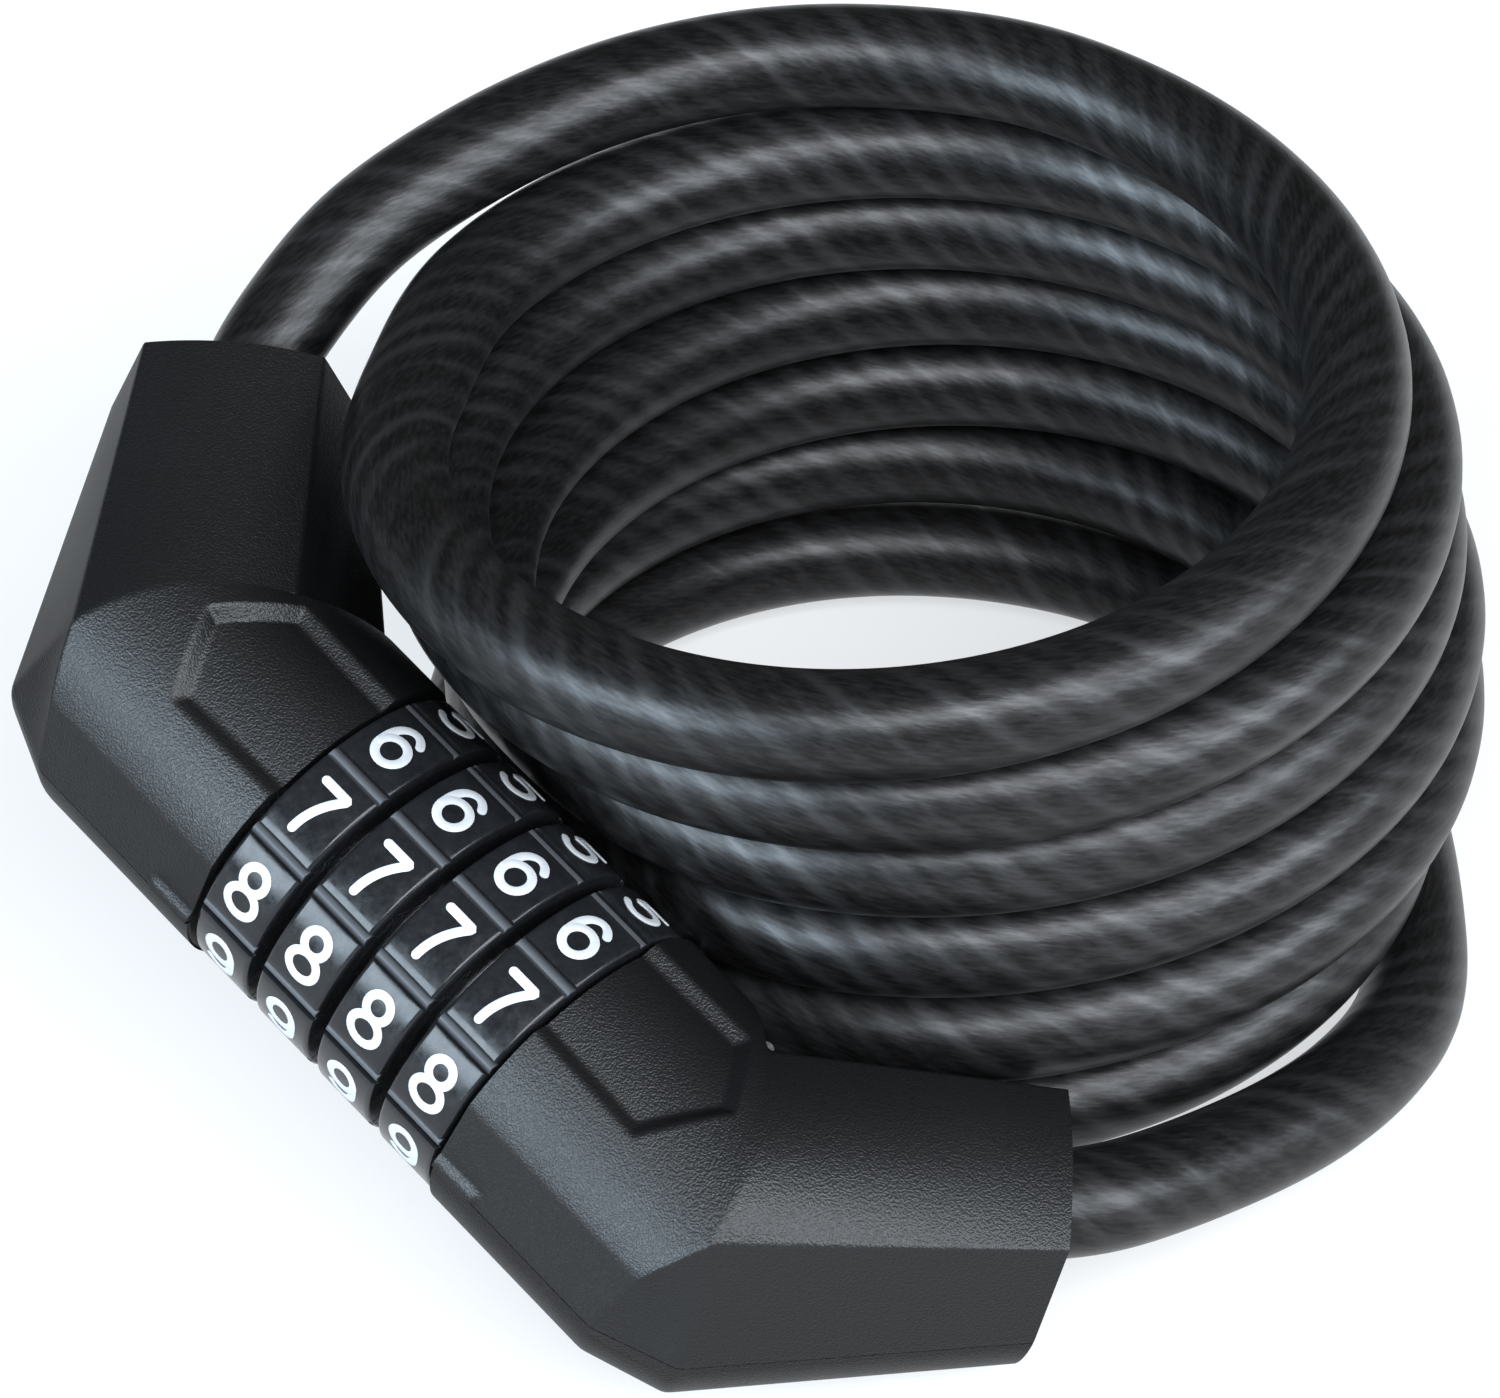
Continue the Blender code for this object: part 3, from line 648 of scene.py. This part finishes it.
RIB_FROM, RIB_TO = 15.7, 20.3              # degrees from a panel's middle
SIDE_RADIUS = 15.7                         # a ring's side faces end here
ROUND_RADIUS = 14.5                        # within it a ring's sides have no panels
RING_EDGE = (                              # distance from the side face, radius
    (0.0, RING_BORE),
    (0.0, 14.2),
    (0.0, 15.5),
    (0.05, 15.68),
    (0.14, 15.86),
    (0.3, 15.97),
    (0.5, RING_RADIUS),
    (2.0, RING_RADIUS),
)


def ring_profile():
    """Angles in degrees and radial drops: one panel, a groove, the rib, a second groove."""
    points = [(a, 0.0) for a in np.linspace(-15.0, 15.0, 13)]
    points += [(15.3, 0.03), (15.55, 0.55), (15.85, 0.62)]
    points += [(18.0 + 1.9 * share, 0.14 + 0.36 * share ** 2) for share in np.linspace(-1, 1, 9)]
    points += [(20.15, 0.62), (20.45, 0.55), (20.7, 0.03)]
    return points


def make_ring(number, look, paint):
    """One number ring with its ten raised digits."""
    middle = (number - (DIALS + 1) / 2) * DIAL_PITCH
    half = RING_WIDTH / 2
    sides = tuple((-half + inset, radius) for inset, radius in RING_EDGE)
    sides += tuple((-x, radius) for x, radius in reversed(sides))
    rows = []
    for x, radius in sides:
        loop = []
        for panel in range(PANELS):
            for angle, drop in ring_profile():
                turn = radians(DIGIT_SIX_ANGLE + PANEL_ANGLE * panel + angle)
                r = min(radius, RING_RADIUS - drop) if radius > ROUND_RADIUS else radius
                loop.append((middle + x, r * sin(turn), r * cos(turn)))
        rows.append(loop)
    points = transformed(np.array(rows), HEAD)
    mesh = grid_mesh(f"ring_{number}", points, closed_rows=True, closed_columns=True)
    bm = bmesh.new()
    bm.from_mesh(mesh)
    bmesh.ops.recalc_face_normals(bm, faces=bm.faces)
    bm.to_mesh(mesh)
    bm.free()
    mesh.set_sharp_from_angle(angle=radians(38))
    # The rib mark carries the painted sheen on the ribs.
    on_rib = np.tile([RIB_FROM < angle < RIB_TO for angle, _ in ring_profile()], PANELS)
    # The side mark carries painted shade on the ring's side faces.
    on_side = np.array([radius < SIDE_RADIUS for _, radius in sides])
    marks = {"rib": np.outer(~on_side, on_rib), "side": np.outer(on_side, np.ones_like(on_rib))}
    for name, values in marks.items():
        layer = mesh.attributes.new(name, "FLOAT", "POINT")
        layer.data.foreach_set("value", values.ravel().astype(np.float32))
    made = link(f"ring_{number}", mesh, look, f"dial_{number}")
    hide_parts(f"number_ring_{number}")
    vertices, faces = [], []
    for digit in range(PANELS):
        points, quads = digit_mesh(digit, middle, DIGIT_SIX_ANGLE + PANEL_ANGLE * (6 - digit))
        base = len(vertices)
        vertices.extend(points)
        faces.extend(tuple(base + k for k in quad) for quad in quads)
    placed = transformed(np.array(vertices), HEAD)
    mesh = bpy.data.meshes.new(f"digits_{number}")
    mesh.from_pydata((placed * MM).tolist(), [], faces)
    mesh.shade_smooth()
    mesh.set_sharp_from_angle(angle=radians(40))
    link(f"digits_{number}", mesh, paint, f"dial_{number}")


def arc(cx, cy, rx, ry, start, end, steps=16):
    turns = np.radians(np.linspace(start, end, steps))
    return [(cx + rx * cos(a), cy + ry * sin(a)) for a in turns]


def bend(start, control, end, steps):
    """A curve from start to end that leans towards the control point."""
    share = np.linspace(0, 1, steps)[:, None]
    start, control, end = np.array(start), np.array(control), np.array(end)
    curve = start * (1 - share) ** 2 + control * 2 * share * (1 - share) + end * share ** 2
    return [tuple(point) for point in curve]


W, H = 1.35, 2.3                           # half size of a digit's centre line, before scaling
STROKES = {
    0: [arc(0, 0, W, H, 90, 450, 44)],
    1: [[(-0.85, 1.35), (0.25, H), (0.25, -H)]],
    2: [arc(0, 1.0, 1.3, 1.3, 170, -25, 18) + [(-1.3, -H), (1.4, -H)]],
    3: [arc(-0.05, 1.15, 1.2, 1.15, 150, -75, 18) + arc(-0.1, -1.0, 1.4, 1.3, 75, -150, 20)],
    4: [[(0.55, -H), (0.55, H), (-1.4, -0.9), (1.45, -0.9)]],
    5: [[(1.2, H), (-0.8, H), (-1.05, 0.3)] + arc(-0.05, -0.75, 1.45, 1.55, 130, -150, 24)],
    6: [arc(0, 0.1, W, 2.2, 38, 180, 14) + arc(0, -0.85, W, 1.45, 180, 540, 30)],
    7: [[(-1.3, H)] + bend((1.35, H), (-0.45, 0.15), (-0.5, -H), 14)],
    8: [arc(0, 1.2, 1.16, 1.2, -90, 270, 28) + arc(0, -1.2, 1.47, 1.25, 90, 450, 32)],
    9: [arc(0, -0.1, W, 2.2, 218, 360, 14) + arc(0, 0.85, W, 1.45, 0, 360, 30)],
}
STROKE_HALF, DIGIT_SCALE = 0.45, 1.12
STROKE_STEP = 0.18
TIP_REACH, TIP_HALF = 0.985, 0.16          # a stroke's first row, as shares of its half width
DIGIT_LIFT, DIGIT_LIFT_GROWTH = 0.07, 0.03  # a stroke rises slowly, so crossings don't coincide
DIGIT_EDGE, DIGIT_SINK = 0.03, -0.05       # bevel height; foot of a stroke's walls


def ribbon(line_points):
    """A stroke with round ends as rows of middle point, direction and half width."""
    dense = [np.array(line_points[0], float)]
    for a, b in zip(line_points, line_points[1:]):
        a, b = np.array(a, float), np.array(b, float)
        count = max(1, int(np.linalg.norm(b - a) / STROKE_STEP))
        for k in range(1, count + 1):
            dense.append(a + (b - a) * k / count)
    dense = softened(np.array(dense), 0, 2)
    ahead = np.gradient(dense, axis=0)
    ahead /= np.linalg.norm(ahead, axis=1)[:, None]
    turns = [radians(15 * k) for k in range(6)]
    rows = [(dense[0] - ahead[0] * STROKE_HALF * TIP_REACH, ahead[0], STROKE_HALF * TIP_HALF)]
    rows += [(dense[0] - ahead[0] * STROKE_HALF * sin(turn), ahead[0], STROKE_HALF * cos(turn))
             for turn in turns[4::-1]]
    rows += [(p, t, STROKE_HALF) for p, t in zip(dense[1:-1], ahead[1:-1])]
    rows += [(dense[-1] + ahead[-1] * STROKE_HALF * sin(turn), ahead[-1], STROKE_HALF * cos(turn))
             for turn in turns]
    return rows


def digit_mesh(digit, middle, angle):
    """Raised digit on a ring: its right is +X and its top turns towards the coil."""
    vertices, faces = [], []
    for stroke in STROKES[digit]:
        rows = ribbon(np.array(stroke) * DIGIT_SCALE)
        base = len(vertices)
        for index, (point, ahead, half) in enumerate(rows):
            left = np.array((-ahead[1], ahead[0]))
            lift = DIGIT_LIFT + DIGIT_LIFT_GROWTH * index / len(rows)
            spots = ((1.0, DIGIT_SINK), (1.0, lift - DIGIT_EDGE), (0.9, lift), (-0.9, lift),
                     (-1.0, lift - DIGIT_EDGE), (-1.0, DIGIT_SINK))
            for share, height in spots:
                flat = point + left * half * share
                turn = radians(angle) + flat[1] / RING_RADIUS
                r = RING_RADIUS + height
                vertices.append((middle + flat[0], r * sin(turn), r * cos(turn)))
        for i in range(len(rows) - 1):
            for j in range(5):
                a = base + i * 6 + j
                faces.append((a, a + 6, a + 7, a + 1))
        last = base + (len(rows) - 1) * 6
        faces.append(tuple(range(base, base + 6)))
        faces.append(tuple(range(last + 5, last - 1, -1)))
    return vertices, faces


# ---- Stage ----

FLOOR_HALF = 3.0
LIGHTS = (                                 # name, position, target, size, watts, colour
    ("key", (-0.9, -0.7, 0.5), (0.0, 0.0, 0.03), (0.9, 0.6), 32.0, (0.72, 0.87, 1.0)),
    ("top", (0.26, -0.74, 0.95), (0.02, 0.03, 0.03), (1.1, 0.46), 24.0, (0.9, 0.95, 1.0)),
    ("right", (1.0, -0.55, 0.5), (0.03, 0.0, 0.03), (0.9, 0.5), 19.0, (0.86, 0.93, 1.0)),
)


def area_light(name, position, target, size, energy, colour):
    data = bpy.data.lights.new(name, "AREA")
    data.shape = "RECTANGLE"
    data.size, data.size_y = size
    data.energy = energy
    data.color = colour
    made = bpy.data.objects.new(name, data)
    bpy.context.scene.collection.objects.link(made)
    made.location = position
    made.rotation_euler = (Vector(target) - Vector(position)).to_track_quat("-Z", "Y").to_euler()


def make_stage():
    """Pale floor, even world light and three soft boxes."""
    mesh = bpy.data.meshes.new("floor")
    corners = ((-1, -1), (1, -1), (1, 1), (-1, 1))
    mesh.from_pydata([(x * FLOOR_HALF, y * FLOOR_HALF, 0) for x, y in corners], [],
                     [(0, 1, 2, 3)])
    floor = bpy.data.objects.new("floor", mesh)
    bpy.context.scene.collection.objects.link(floor)
    n = Nodes("pale_floor")
    fleck = n.noise(n.place(), 60.0, 3.0, 0.5)
    n.feed("Base Color", n.mix(fleck, (0.27, 0.262, 0.254), (0.29, 0.281, 0.272)))
    n.set(Roughness=0.9, Specular_IOR_Level=0.1, Emission_Strength=0.66,
          Emission_Color=(0.94, 0.97, 1.0, 1.0))
    mesh.materials.append(n.material)
    world = bpy.data.worlds.new("studio")
    bpy.context.scene.world = world
    world.use_nodes = True
    background = world.node_tree.nodes["Background"]
    background.inputs[0].default_value = (1.0, 0.97, 0.94, 1.0)
    background.inputs[1].default_value = 0.11
    for light in LIGHTS:
        area_light(*light)
    bpy.context.scene.view_settings.view_transform = "Standard"


def finish_metal_parts():
    """Gives the CAD's own metal pieces their looks by material slot."""
    looks = {
        "steel": metal("plated_steel", (0.52, 0.52, 0.53), 0.28, 900.0),
        "cast_zinc": metal("cast_zinc", (0.36, 0.36, 0.37), 0.42, 500.0),
        "spring_steel": metal("spring_steel", (0.2, 0.2, 0.22), 0.3, 1200.0),
    }
    for entry in frame["record"]["subparts"]:
        node = bpy.data.objects.get(entry["node"])
        if node and entry["material_slot"] in looks:
            for item in node.material_slots:
                item.material = looks[entry["material_slot"]]


def main():
    make_camera()
    make_cable(cable_vinyl())
    grain, gloss, paint = grained_plastic(), gloss_plastic(), digit_paint()
    make_housing("body", 1, HEAD, "lock_body", grain, BODY_HOLE, BODY_REACH)
    make_housing("plug", -1, PLUG, "plug", grain, PLUG_HOLE, PLUG_REACH)
    for number in range(1, DIALS + 1):
        make_ring(number, gloss, paint)
    finish_metal_parts()
    make_stage()


main()
